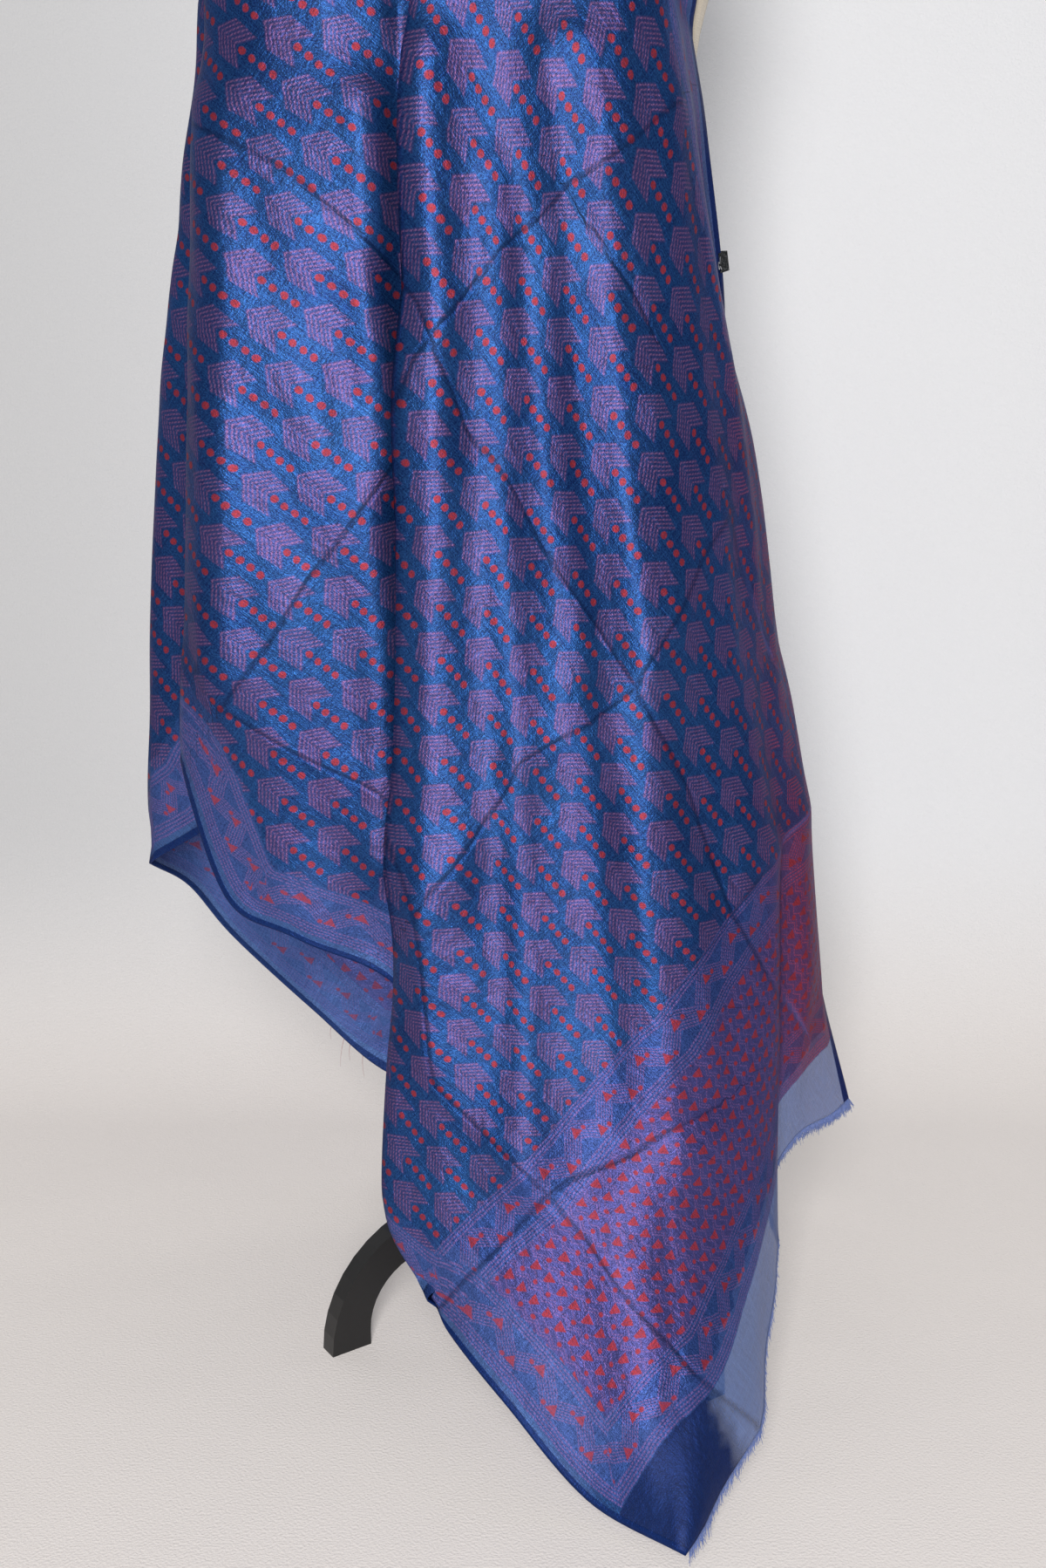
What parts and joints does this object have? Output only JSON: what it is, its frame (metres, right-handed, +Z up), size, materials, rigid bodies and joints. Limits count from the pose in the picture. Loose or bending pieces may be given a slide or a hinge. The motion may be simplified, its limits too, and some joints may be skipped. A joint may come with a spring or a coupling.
{
  "type": "kantha dupatta on a dress form",
  "caption": "Blue silk dupatta with all-over red kantha stitching, draped over one shoulder of a dress form and clipped at the hip.",
  "frame": {"origin": "on the floor, at the middle of the footprint of the stand and the cloth", "axes": "+Z up, the dress form faces -Y, the bare shoulder is on the +X side"},
  "size_m": [0.6521, 0.6406, 1.5423],
  "materials": {
    "silk": "sheer slubby silk with a soft sheen, mauve and red running stitch",
    "clip_steel": "worn dark grey enamel",
    "clip_wire": "bright nickel wire",
    "form_jersey": "fine knitted jersey cover",
    "neck_wood": "clear satin varnish",
    "stand_metal": "satin black",
    "black_wood": "satin black paint on wood"
  },
  "bodies": {
    "root": {"dupatta": "silk", "fringe": "silk", "clip_body": "clip_steel", "clip_handle_front": "clip_wire", "clip_handle_back": "clip_wire", "form_torso": "form_jersey", "form_neck_cap": "neck_wood", "stand_collar": "stand_metal", "stand_pole": "stand_metal", "stand_hub": "black_wood", "stand_leg_1": "black_wood", "stand_leg_2": "black_wood", "stand_leg_3": "black_wood", "stand_leg_4": "black_wood"}
  },
  "joints": []
}
